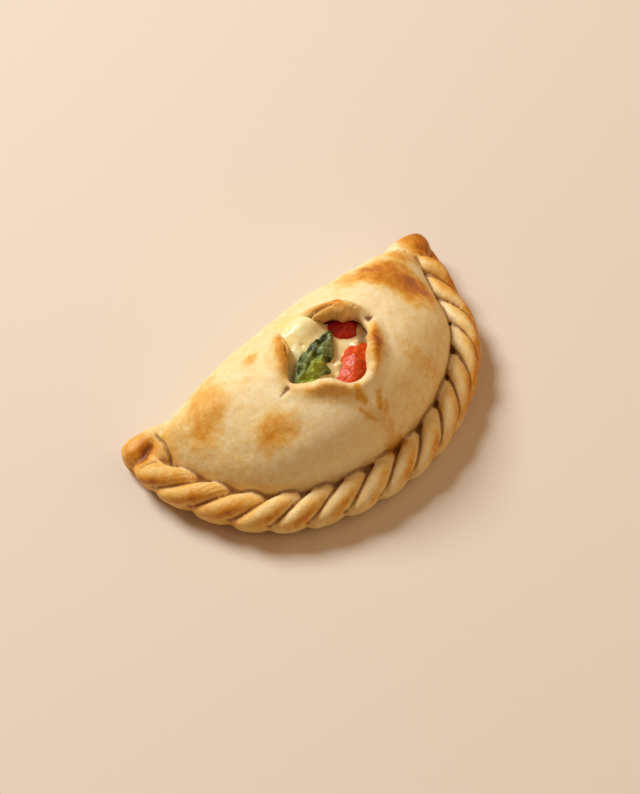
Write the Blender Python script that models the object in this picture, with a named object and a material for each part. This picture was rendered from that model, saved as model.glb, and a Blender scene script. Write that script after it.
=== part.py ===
# A baked empanada: one folded disc of dough with a rope-crimped edge, cut with a cross on
# top so that four petals curl back over melted cheese, tomato and a basil leaf.
# Metres, +Z up. X runs from ear to ear, -Y is the crimped side, the dough rests on Z = 0.
import math
import random

import bmesh
import bpy
from mathutils import Matrix, Vector, noise

MM = 0.001

# The folded disc in plan: a half circle of rope round a dome with a softly bulging fold.
rope_radius = 57.4 * MM  # of the rope's axis
rope_centre_y = 29.7 * MM  # puts the origin under the middle of the whole
# places round the rope where it swells outwards: middle and reach in degrees, then the swell
rope_swells = ((-132.0, 24.0, 2.6 * MM), (-172.0, 15.0, 1.0 * MM), (-28.0, 22.0, 1.3 * MM))
fold_bulge = 4.2 * MM  # how far the fold swells past the line between the ears
fold_middle = 12.0 * MM
fold_bend = 1.9  # of the fold's parabola, per metre
dome_radius = 54.6 * MM  # of the dome's foot, inside the rope
dome_height = 37.0 * MM
widest_height = 11.0 * MM  # where the dome's side stands upright
left_fall, right_fall = 0.3, 0.12  # how much faster the dome drops towards each ear
under_curve = 9.0 * MM  # how far the side rolls in under the dome
corner_rounding = 14.0  # power of the blend between rope side and fold side
dough = 3.0 * MM
fit_gap = 0.5 * MM  # between the filling and the dough that holds it

# The cross cut: its centre, and the petals between its four slits.
hub = Vector((-0.5 * MM, rope_centre_y - 26.5 * MM, 0.0))
# start and end azimuth of each petal, then its edge, ridge and ridge height in millimetres
petals = (
    (7.0, 97.0, 12.1, 16.2, 4.8),
    (97.0, 180.5, 12.8, 15.9, 3.5),
    (180.5, 269.0, 11.5, 14.8, 3.5),
    (269.0, 367.0, 10.4, 13.9, 4.2),
)
slit_radius = (15.2 * MM, 16.6 * MM, 16.4 * MM, 14.8 * MM)
slit_ridge_height = 1.2 * MM
petal_blend = 2.8 * MM  # how gently a petal's back runs out into the dome
lip_drop = 3.2 * MM  # from a petal's ridge to its free edge

# The rope crimp.
strand_count = 15
first_strand_angle = math.radians(-170.0)
last_strand_angle = math.radians(-5.6)
strand_crowding = math.radians(5.0)  # strands sit closer together past the middle
strand_sweep = math.radians(15.5)  # along the rope, from a strand's outer to its inner end
strand_half_width = 4.0 * MM
strand_half_height = 3.5 * MM
strand_offset = 3.0 * MM  # from the rope's axis to a strand's own middle
rope_axis_height = 5.6 * MM
# the skirt under the strands: its middle, measured from the rope's axis, and its half sizes
skirt_out = 0.5 * MM
skirt_down = 1.0 * MM
skirt_half_width = 5.7 * MM
skirt_half_height = 4.6 * MM
outer_end = math.radians(-48.0)  # round the rope's section: 0 is outwards, 90 is up
inner_end = math.radians(166.0)

# The folded corners: place along X, place along Y from the line between the ears, height,
# half width and half height of each section, in millimetres.
left_ear = (
    (-45.5, -7.6, 8.2, 6.5, 7.0),
    (-50.0, -6.2, 7.4, 7.2, 6.6),
    (-55.0, -5.7, 6.6, 7.9, 6.0),
    (-59.0, -5.4, 6.0, 8.2, 5.6),
    (-61.4, -5.2, 5.7, 7.6, 5.1),
    (-62.9, -5.2, 5.4, 5.6, 3.8),
)
right_ear = (
    (44.5, -5.0, 8.8, 7.2, 7.0),
    (49.0, -3.0, 8.6, 7.4, 7.0),
    (55.0, -1.8, 8.0, 7.0, 6.9),
    (59.5, -1.0, 7.7, 5.7, 6.3),
    (62.2, -0.2, 7.6, 3.9, 4.7),
    (63.6, 0.5, 7.5, 2.0, 2.5),
)

# The filling. Places are measured from the hub.
cheese_level = 32.3 * MM
# place, reach and height of the swell in the back left corner and of the two dips for tomato
cheese_swells = (
    (Vector((-3.5, 10.5, 0.0)) * MM, 7.0 * MM, 3.2 * MM),
    (Vector((9.0, 6.5, 0.0)) * MM, 6.5 * MM, -2.3 * MM),
    (Vector((6.5, -7.0, 0.0)) * MM, 7.5 * MM, -2.6 * MM),
)
pocket_gap = 0.4 * MM
front_tomato = (Vector((4.6, -5.9, 27.7)) * MM, Vector((9.6, 5.9, 4.9)) * MM, math.radians(26.0))
back_tomato = (Vector((9.9, 6.9, 26.6)) * MM, Vector((7.2, 5.0, 5.2)) * MM, math.radians(-45.0))
leaf_base = Vector((-13.2, -1.2, 0.0)) * MM
leaf_tip = Vector((5.0, 7.6, 0.0)) * MM
leaf_thickness = 0.8 * MM
leaf_clearance = 1.3 * MM  # from the cheese to the leaf's middle layer
# share of the leaf's length, then its half width on the left and right of the midrib
leaf_halves = (
    (0.0, 1.3, 1.3),
    (0.12, 3.0, 2.7),
    (0.33, 4.3, 4.9),
    (0.42, 3.8, 6.2),
    (0.52, 3.4, 5.2),
    (0.71, 3.0, 4.8),
    (0.90, 1.7, 2.4),
    (1.0, 0.5, 0.5),
)

azimuth_steps = 76
bottom_cut = 1.0 * MM  # dough below Z = 0 that the flat base trims off


def clear_scene():
    for item in list(bpy.data.objects):
        bpy.data.objects.remove(item, do_unlink=True)


def add_material(obj, name, colour, roughness):
    material = bpy.data.materials.new(name)
    material.use_nodes = True
    shader = material.node_tree.nodes["Principled BSDF"]
    shader.inputs["Base Color"].default_value = (*colour, 1.0)
    shader.inputs["Roughness"].default_value = roughness
    shader.inputs["Metallic"].default_value = 0.0
    obj.data.materials.clear()
    obj.data.materials.append(material)


def mesh_object(name, bm):
    bmesh.ops.recalc_face_normals(bm, faces=bm.faces)
    mesh = bpy.data.meshes.new(name)
    bm.to_mesh(mesh)
    bm.free()
    obj = bpy.data.objects.new(name, mesh)
    bpy.context.scene.collection.objects.link(obj)
    return obj


def skin_rings(name, first_pole, rings, last_pole):
    # A closed mesh from rings of equal count, with a point at either end.
    bm = bmesh.new()
    loops = [[bm.verts.new(p) for p in ring] for ring in rings]
    edges = []
    for loop in loops:
        count = len(loop)
        edges.append([bm.edges.new((loop[j], loop[(j + 1) % count])) for j in range(count)])
    for lower, upper in zip(edges, edges[1:]):
        bmesh.ops.bridge_loops(bm, edges=lower + upper)
    for pole, loop in ((first_pole, loops[0]), (last_pole, loops[-1])):
        tip = bm.verts.new(pole)
        for j, vert in enumerate(loop):
            bm.faces.new((tip, vert, loop[(j + 1) % len(loop)]))
    bmesh.ops.triangulate(bm, faces=bm.faces)
    return mesh_object(name, bm)


def smooth_step(x):
    x = min(max(x, 0.0), 1.0)
    return x * x * (3.0 - 2.0 * x)


def rope_swell(angle):
    turned = math.degrees(angle)
    return sum(swell * math.exp(-(((turned - at) / reach) ** 2)) for at, reach, swell in rope_swells)


def outline(azimuth, inset=0.0):
    # Distance from the hub to the dome's foot: the nearer of rope side and fold side, blended.
    direction = Vector((math.cos(azimuth), math.sin(azimuth), 0.0))
    start = hub - Vector((0.0, rope_centre_y, 0.0))
    along = start.dot(direction)
    to_rope = -along + math.sqrt(along**2 - start.length_squared + dome_radius**2)
    hit = start + to_rope * direction
    to_rope += 0.9 * rope_swell(math.atan2(hit.y, hit.x))
    bend = fold_bend * direction.x**2
    slope = direction.y + 2.0 * fold_bend * (start.x - fold_middle) * direction.x
    depth = fold_bulge - start.y - fold_bend * (start.x - fold_middle) ** 2
    to_fold = 2.0 * depth / max(slope + math.sqrt(slope**2 + 4.0 * bend * depth), 1e-4)
    k = corner_rounding
    return (to_rope**-k + to_fold**-k) ** (-1.0 / k) - inset


def dome_height_at(azimuth, distance, inset=0.0, drop=0.0):
    # Height of the dome's upper side over a point. It falls away faster towards the ears.
    reach = outline(azimuth, inset)
    towards_ear = smooth_step((reach - 32.0 * MM) / (25.0 * MM))
    fall = towards_ear * (left_fall if math.cos(azimuth) < 0.0 else right_fall)
    share = min(distance / reach, 1.0)
    lean = math.asin(share ** (1.0 / (1.0 + 0.5 * fall)))
    rise = dome_height - drop - widest_height
    return widest_height + rise * math.cos(lean) ** (1.0 + fall)


def petal_at(azimuth):
    # (edge radius, ridge radius, ridge height) of the torn rim at this azimuth.
    degrees = math.degrees(azimuth)
    for number, (start, end, edge, ridge, height) in enumerate(petals):
        turned = (degrees - start) % 360.0
        if turned <= end - start:
            share = turned / (end - start)
            before, after = slit_radius[number], slit_radius[(number + 1) % len(petals)]
            corner = before + (after - before) * share
            wave = math.sin(math.pi * share)
            return (
                corner + (edge * MM - corner) * wave**0.55,
                corner + 1.4 * MM + (ridge * MM - corner - 1.4 * MM) * wave**0.7,
                slit_ridge_height + (height * MM - slit_ridge_height) * wave**0.7,
            )


def from_hub(azimuth, distance, height):
    return hub + Vector((distance * math.cos(azimuth), distance * math.sin(azimuth), height))


def crust_profile(azimuth):
    # (distance, height) pairs from the outer base, over the petal and into the cavity's floor.
    reach = outline(azimuth)
    edge, ridge, lift = petal_at(azimuth)
    pairs = []
    for step in (88.0, 72.0, 45.0, 20.0, 0.0):
        turn = math.radians(step)
        pairs.append(
            (reach - under_curve * (1.0 - math.cos(turn)), widest_height * (1.0 - math.sin(turn)))
        )
    pairs[0] = (pairs[0][0], -bottom_cut)
    shares = (0.97, 0.9, 0.8, 0.67, 0.53, 0.38, 0.25, 0.15, 0.08, 0.0)
    for share in shares:
        distance = ridge + (reach - ridge) * share
        bump = lift * math.exp(-(((distance - ridge) / petal_blend) ** 2))
        pairs.append((distance, dome_height_at(azimuth, distance) + bump))
    top = pairs[-1][1]
    drop = lip_drop * min(1.0, (ridge - edge) / (3.0 * MM))
    for turn in (35.0, 65.0, 90.0):
        turn = math.radians(turn)
        inwards = (ridge - edge) * math.sin(turn)
        pairs.append((ridge - inwards, top - drop * (1.0 - math.cos(turn))))
    pairs.extend(cavity_profile(azimuth, edge, 0.0))
    return pairs


def cavity_profile(azimuth, edge, gap):
    # The hollow that the filling fills, or the filling's own side when gap is not zero.
    reach = outline(azimuth, cavity_inset(azimuth) + gap)
    pairs = []
    for share in (0.0, 0.35, 0.7, 0.92, 1.0):
        distance = edge + 0.6 * MM - gap + (reach - edge - 0.6 * MM + gap) * share
        inset = cavity_inset(azimuth) + gap
        pairs.append((distance, dome_height_at(azimuth, distance, inset, dough) - gap))
    floor = dough + gap
    for turn in (45.0, 90.0):
        turn = math.radians(turn)
        distance = reach - 6.0 * MM * (1.0 - math.cos(turn))
        pairs.append((distance, floor + (widest_height - gap - floor) * (1.0 - math.sin(turn))))
    return pairs


def cavity_inset(azimuth):
    # The dough's own thickness, growing to the solid corners at the ears.
    towards_ear = smooth_step((outline(azimuth) - 34.0 * MM) / (22.0 * MM))
    return dough + 0.5 * MM + 9.0 * MM * towards_ear


def azimuths(count):
    return [2.0 * math.pi * j / count for j in range(count)]


def make_shell():
    columns = [crust_profile(azimuth) for azimuth in azimuths(azimuth_steps)]
    rings = [
        [from_hub(a, *column[row]) for a, column in zip(azimuths(azimuth_steps), columns)]
        for row in range(len(columns[0]))
    ]
    below = hub + Vector((0.0, 0.0, -bottom_cut))
    return skin_rings("crust", below, rings, hub + Vector((0.0, 0.0, dough)))


def rope_point(angle, offset, section):
    # A point off the rope's axis. section turns round it: 0 is outwards and 90 degrees is up.
    out = rope_radius + rope_swell(angle) + offset * math.cos(section)
    return Vector(
        (
            out * math.cos(angle),
            rope_centre_y + out * math.sin(angle),
            rope_axis_height + offset * math.sin(section),
        )
    )


def oval(middle, across, upwards, sides, squareness=1.0):
    # A ring of points; squareness below 1 swells its corners.
    ring = []
    for j in range(sides):
        turn = 2.0 * math.pi * j / sides
        x, y = math.cos(turn), math.sin(turn)
        ring.append(
            middle
            + across * math.copysign(abs(x) ** squareness, x)
            + upwards * math.copysign(abs(y) ** squareness, y)
        )
    return ring


def strand_angle(number):
    share = number / (strand_count - 1)
    even = first_strand_angle + (last_strand_angle - first_strand_angle) * share
    return even - strand_crowding * math.sin(math.pi * share**1.4)


def make_strand(number, chance):
    # One fold of the crimp: up from the skirt, over the rope and in against the dome.
    start = strand_angle(number)
    left = strand_count - 1 - number
    sweep = strand_sweep * min(1.0, 0.3 + 0.25 * left) * chance.uniform(0.94, 1.06)
    fatness = chance.uniform(0.95, 1.05)

    def middle_at(share):
        section = outer_end + (inner_end - outer_end) * share
        along = (section - math.radians(-5.0)) / math.radians(145.0)
        return rope_point(start + sweep * along, strand_offset, section)

    rings = []
    steps = 11
    for step in range(steps):
        share = step / (steps - 1)
        middle = middle_at(share)
        forward = (middle_at(share + 0.01) - middle_at(share - 0.01)).normalized()
        angle = math.atan2(middle.y - rope_centre_y, middle.x)
        outward = (middle - rope_point(angle, 0.0, 0.0)).normalized()
        sideways = forward.cross(outward).normalized()
        outward = sideways.cross(forward)
        size = fatness * math.sin(math.pi * (0.13 + 0.75 * share)) ** 0.55
        rings.append(
            oval(middle, sideways * strand_half_width * size, outward * strand_half_height * size, 8)
        )
    reach = 0.8 * MM
    first = middle_at(0.0) + (middle_at(0.0) - middle_at(0.01)).normalized() * reach
    last = middle_at(1.0) + (middle_at(1.0) - middle_at(0.99)).normalized() * reach
    return skin_rings(f"strand_{number}", first, rings, last)


def make_skirt():
    # Both layers of dough that the strands are folded from, reaching in under the dome.
    rings = []
    steps = 38
    for j in range(steps):
        angle = math.radians(-176.0 + 173.5 * j / (steps - 1))
        middle = rope_point(angle, skirt_out, 0.0) - Vector((0.0, 0.0, skirt_down))
        outward = Vector((math.cos(angle), math.sin(angle), 0.0)) * skirt_half_width
        rings.append(oval(middle, outward, Vector((0.0, 0.0, skirt_half_height)), 10))
    ends = [sum(ring, Vector()) / len(ring) for ring in (rings[0], rings[-1])]
    return skin_rings("skirt", ends[0], rings, ends[1])


def make_ear(name, sections):
    rings = []
    for x, y, z, half_width, half_height in sections:
        middle = Vector((x * MM, rope_centre_y + y * MM, z * MM))
        across, upwards = Vector((0.0, half_width * MM, 0.0)), Vector((0.0, 0.0, half_height * MM))
        rings.append(oval(middle, across, upwards, 14, 0.8))
    ends = [sum(ring, Vector()) / len(ring) for ring in (rings[0], rings[-1])]
    ends[1].x += math.copysign(0.9 * MM, ends[1].x)
    return skin_rings(name, ends[0], rings, ends[1])


def join_solids(target, others):
    # One union on a collection, then the flat base is cut.
    group = bpy.data.collections.new("joined")
    for obj in others:
        group.objects.link(obj)
    union = target.modifiers.new("join", "BOOLEAN")
    union.operation = "UNION"
    union.solver = "MANIFOLD"
    union.operand_type = "COLLECTION"
    union.collection = group
    apply_modifiers(target)
    for obj in others:
        bpy.data.objects.remove(obj, do_unlink=True)
    bpy.data.collections.remove(group)


def apply_modifiers(obj):
    graph = bpy.context.evaluated_depsgraph_get()
    mesh = bpy.data.meshes.new_from_object(obj.evaluated_get(graph))
    obj.modifiers.clear()
    obj.data = mesh


def cut(target, cutter):
    difference = target.modifiers.new("cut", "BOOLEAN")
    difference.operation = "DIFFERENCE"
    difference.solver = "MANIFOLD"
    difference.object = cutter
    apply_modifiers(target)
    bpy.data.objects.remove(cutter, do_unlink=True)


def make_crust():
    chance = random.Random(7)
    crust = make_shell()
    pieces = [make_skirt(), make_ear("ear_left", left_ear), make_ear("ear_right", right_ear)]
    pieces += [make_strand(number, chance) for number in range(strand_count)]
    join_solids(crust, pieces)
    bm = bmesh.new()
    bmesh.ops.create_cube(bm, size=1.0)
    bmesh.ops.scale(bm, vec=(0.3, 0.3, 0.02), verts=bm.verts)
    bmesh.ops.translate(bm, vec=(0.0, 0.0, -0.01), verts=bm.verts)
    cut(crust, mesh_object("base_cutter", bm))
    add_material(crust, "baked_dough", (0.72, 0.47, 0.2), 0.55)
    return crust


def cheese_top(place):
    # Height of the melted surface over a place measured from the hub.
    swells = (
        height * math.exp(-(((place - middle).length / reach) ** 2))
        for middle, reach, height in cheese_swells
    )
    return cheese_level + sum(swells)


def make_cheese():
    rings = []
    columns = []
    for azimuth in azimuths(azimuth_steps):
        edge = petal_at(azimuth)[0] - 0.2 * MM
        column = cavity_profile(azimuth, edge, fit_gap)
        column.reverse()
        neck = edge - fit_gap
        for share in (0.98, 0.8, 0.55, 0.28):
            place = Vector((math.cos(azimuth), math.sin(azimuth), 0.0)) * neck * share
            column.append((neck * share, cheese_top(place)))
        columns.append(column)
    for row in range(len(columns[0])):
        turns = zip(azimuths(azimuth_steps), columns)
        rings.append([from_hub(azimuth, *column[row]) for azimuth, column in turns])
    floor = hub + Vector((0.0, 0.0, dough + fit_gap))
    cheese = skin_rings("cheese", floor, rings, hub + Vector((0.0, 0.0, cheese_top(Vector()))))
    for tomato in (front_tomato, back_tomato):
        cut(cheese, make_tomato("pocket", *tomato, swell=pocket_gap))
    add_material(cheese, "melted_cheese", (0.85, 0.72, 0.42), 0.35)
    return cheese


def make_tomato(name, middle, half, turn, swell=0.0):
    # A cooked chunk: a rounded block with soft hollows.
    bm = bmesh.new()
    bmesh.ops.create_uvsphere(bm, u_segments=16, v_segments=10, radius=1.0)
    for vert in bm.verts:
        wave = 1.0 + 0.12 * noise.noise(vert.co * 1.3 + middle * 400.0)
        size = Vector((half.x * wave + swell, half.y * wave + swell, half.z * wave + swell))
        vert.co = Vector((vert.co.x * size.x, vert.co.y * size.y, vert.co.z * size.z))
    move = Matrix.Translation(hub + middle) @ Matrix.Rotation(turn, 4, "Z")
    bmesh.ops.transform(bm, matrix=move, verts=bm.verts)
    return mesh_object(name, bm)


def leaf_half(share, side):
    for (start, *before), (end, *after) in zip(leaf_halves, leaf_halves[1:]):
        if share <= end:
            step = smooth_step((share - start) / (end - start))
            return (before[side] + (after[side] - before[side]) * step) * MM
    return leaf_halves[-1][1 + side] * MM


def make_leaf():
    # A wilted leaf: a crumpled sheet, thickened evenly.
    along, across = 14, 8
    axis = leaf_tip - leaf_base
    sideways = Vector((-axis.y, axis.x, 0.0)).normalized()
    bm = bmesh.new()
    rows = []
    for i in range(along + 1):
        share = i / along
        row = []
        for j in range(across + 1):
            part = 2.0 * j / across - 1.0
            half = leaf_half(share, 0 if part > 0.0 else 1)
            place = leaf_base + axis * share + sideways * part * half
            crumple = noise.noise(place * 330.0) * 0.7 * MM + abs(part) * 0.35 * MM
            height = cheese_top(place) + leaf_clearance + crumple
            row.append(bm.verts.new(hub + place + Vector((0.0, 0.0, height))))
        rows.append(row)
    for lower, upper in zip(rows, rows[1:]):
        for j in range(across):
            bm.faces.new((lower[j], lower[j + 1], upper[j + 1], upper[j]))
    bmesh.ops.triangulate(bm, faces=bm.faces)
    leaf = mesh_object("basil_leaf", bm)
    thicken = leaf.modifiers.new("thicken", "SOLIDIFY")
    thicken.thickness = leaf_thickness
    thicken.offset = 0.0
    apply_modifiers(leaf)
    add_material(leaf, "basil", (0.05, 0.13, 0.03), 0.5)
    return leaf


def smooth(obj):
    obj.data.shade_smooth()
    obj.data.set_sharp_from_angle(angle=math.radians(55.0))


clear_scene()
pieces = [make_crust(), make_cheese(), make_leaf()]
pieces.append(make_tomato("tomato_front", *front_tomato))
add_material(pieces[-1], "tomato_flesh", (0.6, 0.08, 0.03), 0.3)
pieces.append(make_tomato("tomato_back", *back_tomato))
add_material(pieces[-1], "roast_tomato", (0.35, 0.02, 0.012), 0.35)
for piece in pieces:
    smooth(piece)
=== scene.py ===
import math

import bmesh
import bpy
import numpy as np
from mathutils import Matrix, Vector, noise


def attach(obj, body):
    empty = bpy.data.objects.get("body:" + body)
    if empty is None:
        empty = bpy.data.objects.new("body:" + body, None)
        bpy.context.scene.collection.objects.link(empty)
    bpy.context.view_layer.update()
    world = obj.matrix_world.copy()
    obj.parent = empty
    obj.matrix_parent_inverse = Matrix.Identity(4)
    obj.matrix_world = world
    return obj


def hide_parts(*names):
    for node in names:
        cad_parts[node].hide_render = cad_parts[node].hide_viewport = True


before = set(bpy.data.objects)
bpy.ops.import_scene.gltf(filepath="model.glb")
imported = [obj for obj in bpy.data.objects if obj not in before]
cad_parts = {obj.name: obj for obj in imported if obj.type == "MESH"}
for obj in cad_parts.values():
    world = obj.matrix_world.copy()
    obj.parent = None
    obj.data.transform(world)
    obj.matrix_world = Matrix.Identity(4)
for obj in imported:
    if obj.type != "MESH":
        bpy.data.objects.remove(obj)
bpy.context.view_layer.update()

# An empanada: a disc of wheat dough folded over its filling, crimped into a rope, cut with a
# cross on top and baked. All sizes below are millimetres unless a note says otherwise.
# The origin is under the middle of the whole, X runs from corner to corner, -Y is the rope.
hubPlace = np.array([-0.5, 3.2, 0.0])  # middle of the cross cut


def smoothStep(x):
    x = np.clip(x, 0.0, 1.0)
    return x * x * (3.0 - 2.0 * x)


def bell(distance, reach):
    return np.exp(-((distance / reach) ** 2))


def throughKeys(keys, at):
    # A smooth line through rows of numbers, whose first column says where each row stands.
    keys = np.array(keys, float)
    place, values = keys[:, 0], keys[:, 1:]
    slopes = np.gradient(values, place, axis=0)
    i = np.clip(np.searchsorted(place, at, side="right") - 1, 0, len(place) - 2)
    span = (place[i + 1] - place[i])[:, None]
    t = (at - place[i])[:, None] / span
    return (
        (2 * t**3 - 3 * t**2 + 1) * values[i]
        + (t**3 - 2 * t**2 + t) * span * slopes[i]
        + (3 * t**2 - 2 * t**3) * values[i + 1]
        + (t**3 - t**2) * span * slopes[i + 1]
    )


def grain(points, size, shift=0.0):
    # Soft noise from -1 to 1 whose lumps are about size across.
    return np.array([noise.noise(Vector(p)) for p in points / size + shift])


def lumps(points, rows):
    # Grain of several sizes added up: size, height and shift of each.
    return sum(height * grain(points, size, shift) for size, height, shift in rows)


def inOval(points, middle, halfLength, halfWidth, turn):
    # Distance from the middle of an oval that lies turned, 1 at its edge.
    c, s = math.cos(math.radians(turn)), math.sin(math.radians(turn))
    dx, dy = points[:, 0] - middle[0], points[:, 1] - middle[1]
    return np.hypot((dx * c + dy * s) / halfLength, (dy * c - dx * s) / halfWidth)


def aroundCut(points):
    # Azimuth and distance of each point from the middle of the cut.
    x, y = points[:, 0] - hubPlace[0], points[:, 1] - hubPlace[1]
    return np.arctan2(y, x), np.hypot(x, y)


def fromHub(azimuth, distance, height):
    x, y = hubPlace[0] + distance * np.cos(azimuth), hubPlace[1] + distance * np.sin(azimuth)
    return np.stack([x, y, height + 0.0 * azimuth], axis=-1)


def newObject(name, data):
    obj = bpy.data.objects.new(name, data)
    bpy.context.scene.collection.objects.link(obj)
    return obj


def meshObject(name, points, faces):
    mesh = bpy.data.meshes.new(name)
    mesh.from_pydata([tuple(p) for p in points], [], faces)
    mesh.validate()
    bm = bmesh.new()
    bm.from_mesh(mesh)
    bmesh.ops.recalc_face_normals(bm, faces=bm.faces)
    bm.to_mesh(mesh)
    bm.free()
    return newObject(name, mesh)


def skinRings(name, rings, firstPole, lastPole):
    # A closed skin over rings of points, all of one count, with a point at either end.
    rows, count = len(rings), len(rings[0])
    points = np.concatenate([np.concatenate(rings), [firstPole, lastPole]])
    faces = []
    for r in range(rows - 1):
        for j in range(count):
            k = (j + 1) % count
            faces.append((r * count + j, r * count + k, (r + 1) * count + k, (r + 1) * count + j))
    for j in range(count):
        k = (j + 1) % count
        faces.append((rows * count, k, j))
        faces.append((rows * count + 1, (rows - 1) * count + j, (rows - 1) * count + k))
    return meshObject(name, points, faces)


def applyModifiers(obj):
    graph = bpy.context.evaluated_depsgraph_get()
    mesh = bpy.data.meshes.new_from_object(obj.evaluated_get(graph))
    obj.modifiers.clear()
    obj.data = mesh


def objectFrom(name, bm):
    mesh = bpy.data.meshes.new(name)
    bm.to_mesh(mesh)
    bm.free()
    return newObject(name, mesh)


def joinMeshes(name, parts):
    bm = bmesh.new()
    for part in parts:
        bm.from_mesh(part.data)
        bpy.data.objects.remove(part, do_unlink=True)
    return objectFrom(name, bm)


def subtract(target, cutter):
    difference = target.modifiers.new("cut", "BOOLEAN")
    difference.operation = "DIFFERENCE"
    difference.solver = "MANIFOLD"
    difference.object = cutter
    applyModifiers(target)
    bpy.data.objects.remove(cutter, do_unlink=True)


def readPoints(obj, what="co"):
    values = np.empty(len(obj.data.vertices) * 3)
    obj.data.vertices.foreach_get(what, values)
    return values.reshape(-1, 3)


def writePoints(obj, points):
    obj.data.vertices.foreach_set("co", points.ravel())
    obj.data.update()


def paint(obj, name, values):
    # A number at each point, which the material reads by its name.
    layer = obj.data.attributes.new(name, "FLOAT", "POINT")
    layer.data.foreach_set("value", np.clip(values, 0.0, 1.0).astype(np.float32))


def finishPiece(obj, node, material):
    obj.data.transform(Matrix.Scale(0.001, 4))  # millimetres to metres
    obj.data.shade_smooth()
    obj.data.materials.clear()
    obj.data.materials.append(material)
    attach(obj, "root")
    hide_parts(node)
    triangles = sum(len(p.vertices) - 2 for p in obj.data.polygons)
    print("piece", obj.name, triangles, "triangles")


# The dough's body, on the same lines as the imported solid.
dough = {
    "domeRadius": 54.6,  # of the dome's foot, inside the rope
    "domeHeight": 37.0,
    "widestHeight": 11.0,  # where the dome's side stands upright
    "leftFall": 0.3,  # how much faster the dome drops towards each corner
    "rightFall": 0.12,
    "underCurve": 9.0,  # how far the side draws in below its widest height
    "foldBulge": 4.2,  # of the folded back edge, over the line between the corners
    "foldMiddle": 12.0,
    "foldBend": 0.0019,  # of the fold's parabola, per millimetre
    "footRounding": 14.0,  # how square the foot turns from the rope side to the fold side
    "topRounding": 4.0,  # and the top of the dome
    "squareMost": 0.5,  # the dome is flatter on top and steeper at its foot on this side
    "squareTowards": -62.0,
    "squareReach": 62.0,
    "thickness": 3.0,
    "doubled": 9.0,  # how much thicker the dough is where it lies double, at the corners
    "voxel": 0.515,  # grain of the finished mesh
    # lumps on the dome and over the whole skin: size, height, shift of the pattern
    "domeLumps": ((12.0, 0.5, 0.0), (6.0, 0.16, 9.0)),
    "skinLumps": ((4.2, 0.15, 3.0), (1.7, 0.05, 7.0)),
}

rope = {
    "radius": 57.4,  # of the rope's axis
    "middleY": 29.7,
    "axisHeight": 6.3,
    # where the whole rope bows out or in: at, reach (degrees), how far
    "swells": ((-132.0, 24.0, 2.6), (-172.0, 15.0, 1.0), (-28.0, 22.0, 1.3), (-20.0, 12.0, -3.4)),
    # each crimp: where it crosses the top of the rope and how far it runs along the rope in
    # 100 degrees of the rope's section (0 is outwards and 90 is up), both in degrees
    "crimps": (
        (-164.8, 15.0), (-153.8, 13.0), (-143.0, 12.0), (-131.8, 11.5), (-121.8, 12.0),
        (-111.0, 12.5), (-99.8, 13.0), (-88.8, 14.0), (-77.8, 13.5), (-66.6, 12.5),
        (-56.2, 12.5), (-45.4, 12.5), (-34.8, 12.5), (-24.0, 12.5), (-12.0, 11.0),
    ),
    "crossing": 70.0,  # the section angle at which those places are given
    "tail": 4.0,  # how far a crimp's outer end trails to the left, on the right half, in degrees
    "straightFrom": 18.0,  # below this section angle a crimp turns straight down
    "slopingShare": 0.63,  # a crimp's width to the right of its crest, in crimp spacings
    "steepShare": 0.4,  # and to the left of it
    "plumpness": 2.4,
    "unevenness": 0.08,  # how much the crimps differ in height
    "crest": 8.3,  # from the rope's axis to the top of a crimp
    "innerEnd": 124.0,  # section angle where a crimp ends, on the dome
    # pairs: at the left of the rope, and how much more at its right
    "outerEnd": (3.0, 20.0),  # section angle where a crimp starts, on the outside
    "outerShape": (4.5, -1.8),  # a high number ends a crimp bluntly, a low one draws it out
    "innerShape": (2.2, 1.8),
    "core": (4.3, -0.5),  # from the rope's axis to the grooves on top
    "outerCore": (4.6, 1.6),  # and to those on the outside
    "outerSwell": (2.3, -1.3),  # how far the crimps stand out from there
    "outerFrom": (50.0, 22.0),  # section angle where the outside begins
    "underCut": 1.3,  # how far the outside draws in under the rope
    "leftTaper": 0.5,  # how much thinner the rope runs out at the left corner
    "grooveDepth": 0.5,
    "stretchLines": (0.12, 0.03),  # their height on the first two crimps and on the others
}


def ropeSwell(angle):
    turned = np.degrees(angle)
    return sum(swell * bell(turned - at, reach) for at, reach, swell in rope["swells"])


def footDistance(azimuth, rounding=dough["footRounding"]):
    # From the hub to the dome's foot: the nearer of rope side and fold side, blended.
    c, s = np.cos(azimuth), np.sin(azimuth)
    startX, startY = hubPlace[0], hubPlace[1] - rope["middleY"]
    along = startX * c + startY * s
    toRope = -along + np.sqrt(along**2 - startX**2 - startY**2 + dough["domeRadius"] ** 2)
    toRope += 0.9 * ropeSwell(np.arctan2(startY + toRope * s, startX + toRope * c))
    aside = startX - dough["foldMiddle"]
    bend = dough["foldBend"] * c**2
    slope = s + 2.0 * dough["foldBend"] * aside * c
    depth = dough["foldBulge"] - startY - dough["foldBend"] * aside**2
    toFold = 2.0 * depth / np.maximum(slope + np.sqrt(slope**2 + 4.0 * bend * depth), 1e-3)
    nearer = np.minimum(toRope, toFold)
    other = np.maximum(toRope, toFold)
    return nearer * (1.0 + (nearer / other) ** rounding) ** (-1.0 / rounding)


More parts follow.
